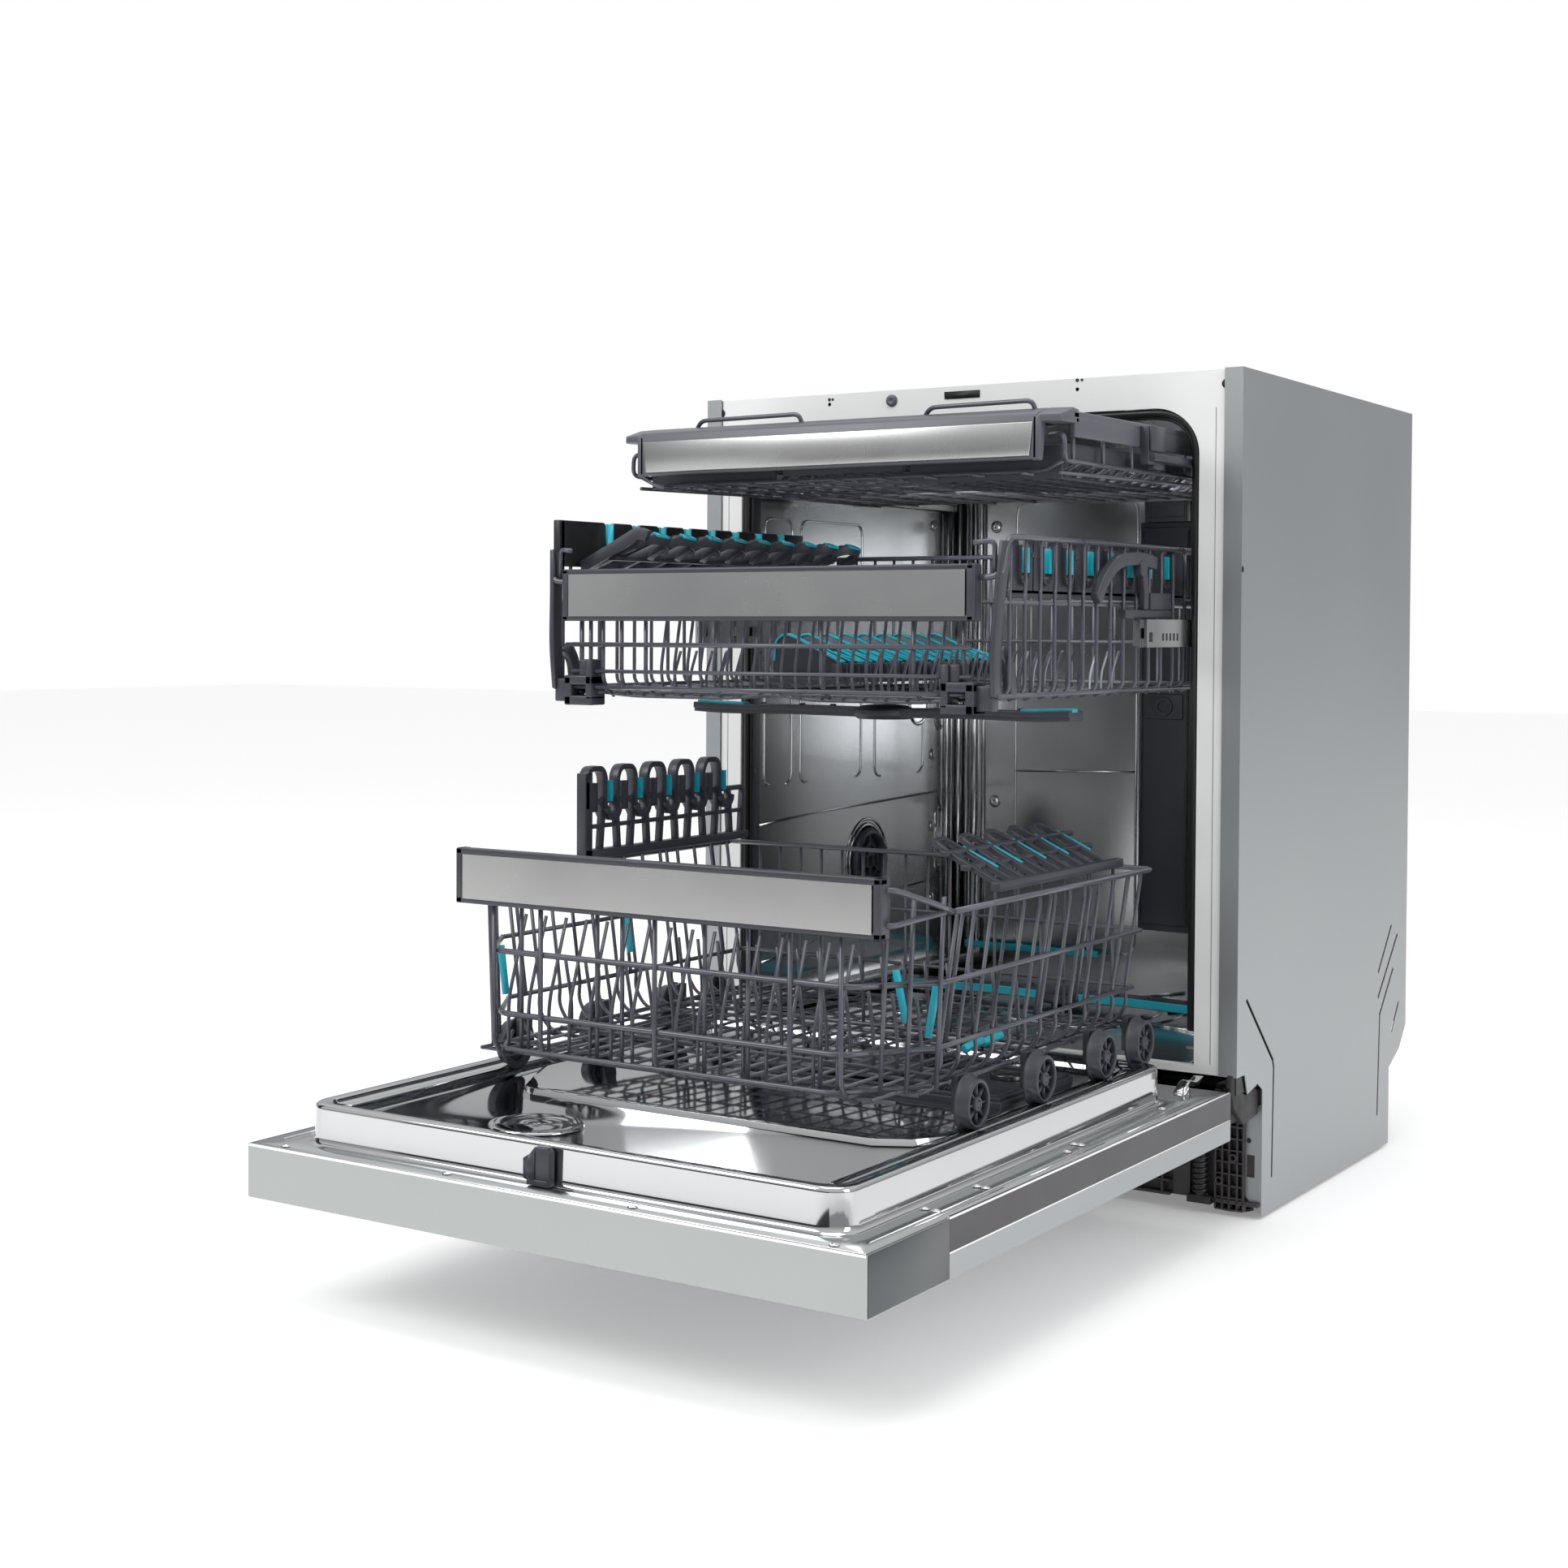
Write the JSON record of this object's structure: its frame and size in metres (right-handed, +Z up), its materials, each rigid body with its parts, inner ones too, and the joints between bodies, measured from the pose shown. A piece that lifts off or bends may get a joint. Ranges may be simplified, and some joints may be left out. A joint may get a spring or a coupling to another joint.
{
  "type": "built-in dishwasher",
  "caption": "Built-in dishwasher shown open: drop-down door with detergent dispenser, wheeled lower basket, middle basket and cutlery tray on rails, spray arms and adjustable feet.",
  "frame": {"origin": "on the floor, under the middle of the open machine", "axes": "+Z up, the door opens towards -Y, +X to the right for someone who stands in front of the machine and looks at it"},
  "size_m": [0.598, 1.28, 0.827],
  "materials": {
    "steel_tub": "satin stainless steel",
    "steel_liner": "polished stainless steel",
    "steel_panel": "galvanised steel with a pale grey coat",
    "steel_fascia": "brushed stainless steel",
    "frame_coat": "pale powder coat",
    "steel_plate": "brushed stainless steel",
    "steel_rail": "rolled steel",
    "steel_hinge": "blackened steel",
    "weight": "cast iron",
    "base_plastic": "moulded polypropylene",
    "trim_plastic": "moulded plastic",
    "gasket_rubber": "EPDM seal",
    "lamp_lens": "frosted lens",
    "wire_coat": "dark vinyl coat over steel wire",
    "rack_plastic": "dark slate moulded plastic",
    "dispenser_plastic": "gloss moulded plastic",
    "button_metal": "satin aluminium"
  },
  "bodies": {
    "cabinet": {"tub_shell": "steel_tub", "side_panel_left": "steel_panel", "side_panel_right": "steel_panel", "rear_panel": "steel_panel", "top_cover": "base_plastic", "front_frame": "frame_coat", "base_pan": "base_plastic", "feet": "trim_plastic", "plinth_brackets": "steel_panel", "hinge_brackets": "steel_hinge", "tub_gasket": "gasket_rubber", "feed_duct": "trim_plastic", "ceiling_lamps": "lamp_lens", "fan_vent": "trim_plastic", "sump": "trim_plastic", "filter_plate": "steel_tub", "circulation_pump": "trim_plastic", "drain_pump": "trim_plastic", "inlet_valve": "trim_plastic", "counterweight": "weight", "rack_rails": "steel_rail"},
    "lower_arm": {"lower_spray_arm": "rack_plastic"},
    "door": {"door_liner": "steel_liner", "door_panel": "steel_panel", "door_side_trims": "trim_plastic", "fascia": "steel_fascia", "door_latch": "trim_plastic", "dispenser_body": "dispenser_plastic", "hinge_arms": "steel_hinge"},
    "power_key": {"power_button": "button_metal"},
    "start_key": {"start_button": "button_metal"},
    "detergent_lid": {"dispenser_lid": "dispenser_plastic"},
    "rinse_filler": {"rinse_cap": "dispenser_plastic"},
    "lower_rack": {"lower_floor": "wire_coat", "lower_sides": "wire_coat", "lower_ends": "wire_coat", "lower_handle": "rack_plastic", "lower_plate": "steel_plate", "lower_axles": "rack_plastic"},
    "tines_front": {"lower_tines_front": "wire_coat"},
    "tines_rear": {"lower_tines_rear": "wire_coat"},
    "cup_shelf_left": {"lower_shelf_left": "rack_plastic"},
    "cup_shelf_right": {"lower_shelf_right": "rack_plastic"},
    "wheels_1": {"lower_wheels_1": "rack_plastic"},
    "wheels_2": {"lower_wheels_2": "rack_plastic"},
    "wheels_3": {"lower_wheels_3": "rack_plastic"},
    "wheels_4": {"lower_wheels_4": "rack_plastic"},
    "mid_rack": {"mid_floor": "wire_coat", "mid_sides": "wire_coat", "mid_ends": "wire_coat", "mid_handle": "rack_plastic", "mid_plate": "steel_plate", "mid_runners": "steel_rail"},
    "slide_members": {"rail_slides": "steel_rail"},
    "mid_left_shelf": {"mid_shelf_left": "rack_plastic"},
    "mid_right_shelf": {"mid_shelf_right": "rack_plastic"},
    "mid_arm": {"mid_spray_arm": "rack_plastic"},
    "cutlery_tray": {"tray_frame": "rack_plastic", "tray_plate": "steel_plate", "tray_inserts": "rack_plastic"}
  },
  "joints": [
    {"name": "door_hinge", "type": "hinge", "parent": "cabinet", "child": "door", "pos_m": [0, 0.062, 0.112], "axis": [-1, 0, 0], "range_deg": [0, 8]},
    {"name": "power_press", "type": "slide", "parent": "door", "child": "power_key", "axis": [0, 0, 1], "range_m": [0, 0.002], "stiffness_N_per_m": 400},
    {"name": "start_press", "type": "slide", "parent": "door", "child": "start_key", "axis": [0, 0, 1], "range_m": [0, 0.002], "stiffness_N_per_m": 400},
    {"name": "detergent_lid_slide", "type": "slide", "parent": "door", "child": "detergent_lid", "axis": [1, 0, 0], "range_m": [0, 0.05]},
    {"name": "rinse_cap_turn", "type": "hinge", "parent": "door", "child": "rinse_filler", "pos_m": [0.172, -0.142, 0.17], "axis": [0, 0, 1], "range_deg": [0, 90]},
    {"name": "lower_rack_slide", "type": "slide", "parent": "door", "child": "lower_rack", "axis": [0, -1, 0], "range_m": [-0.564, 0]},
    {"name": "tines_front_fold", "type": "hinge", "parent": "lower_rack", "child": "tines_front", "pos_m": [0, -0.33, 0.205], "axis": [-1, 0, 0], "range_deg": [0, 88]},
    {"name": "tines_rear_fold", "type": "hinge", "parent": "lower_rack", "child": "tines_rear", "pos_m": [0, -0.14, 0.205], "axis": [-1, 0, 0], "range_deg": [0, 88]},
    {"name": "cup_shelf_left_fold", "type": "hinge", "parent": "lower_rack", "child": "cup_shelf_left", "pos_m": [-0.214, -0.13, 0.358], "axis": [0, 1, 0], "range_deg": [0, 70]},
    {"name": "cup_shelf_right_fold", "type": "hinge", "parent": "lower_rack", "child": "cup_shelf_right", "pos_m": [0.214, -0.127, 0.358], "axis": [0, 1, 0], "range_deg": [-22, 50]},
    {"name": "wheels_1_spin", "type": "hinge", "parent": "lower_rack", "child": "wheels_1", "pos_m": [0, -0.346, 0.1893], "axis": [1, 0, 0], "continuous": true},
    {"name": "wheels_2_spin", "type": "hinge", "parent": "lower_rack", "child": "wheels_2", "pos_m": [0, -0.214, 0.1893], "axis": [1, 0, 0], "continuous": true},
    {"name": "wheels_3_spin", "type": "hinge", "parent": "lower_rack", "child": "wheels_3", "pos_m": [0, -0.08, 0.1893], "axis": [1, 0, 0], "continuous": true},
    {"name": "wheels_4_spin", "type": "hinge", "parent": "lower_rack", "child": "wheels_4", "pos_m": [0, 0.01, 0.1893], "axis": [1, 0, 0], "continuous": true},
    {"name": "mid_rack_slide", "type": "slide", "parent": "cabinet", "child": "mid_rack", "axis": [0, -1, 0], "range_m": [-0.424, 0]},
    {"name": "slide_members_slide", "type": "slide", "parent": "cabinet", "child": "slide_members", "axis": [0, -1, 0], "range_m": [-0.212, 0]},
    {"name": "mid_left_shelf_fold", "type": "hinge", "parent": "mid_rack", "child": "mid_left_shelf", "pos_m": [-0.22, -0.053, 0.634], "axis": [0, -1, 0], "range_deg": [0, 75]},
    {"name": "mid_right_shelf_fold", "type": "hinge", "parent": "mid_rack", "child": "mid_right_shelf", "pos_m": [0.218, -0.0525, 0.608], "axis": [0, -1, 0], "range_deg": [0, 60]},
    {"name": "mid_arm_spin", "type": "hinge", "parent": "mid_rack", "child": "mid_arm", "pos_m": [0, -0.0595, 0.5], "axis": [0, 0, 1], "continuous": true},
    {"name": "cutlery_tray_slide", "type": "slide", "parent": "cabinet", "child": "cutlery_tray", "axis": [0, -1, 0], "range_m": [-0.296, 0]},
    {"name": "lower_arm_spin", "type": "hinge", "parent": "cabinet", "child": "lower_arm", "pos_m": [0, 0.375, 0.16], "axis": [0, 0, 1], "continuous": true}
  ],
  "couplings": [
    {"joint": "wheels_1_spin", "follows": "lower_rack_slide", "rad_per_m": 47.619},
    {"joint": "wheels_2_spin", "follows": "lower_rack_slide", "rad_per_m": 47.619},
    {"joint": "wheels_3_spin", "follows": "lower_rack_slide", "rad_per_m": 47.619},
    {"joint": "wheels_4_spin", "follows": "lower_rack_slide", "rad_per_m": 47.619},
    {"joint": "slide_members_slide", "follows": "mid_rack_slide", "ratio": 0.5}
  ]
}
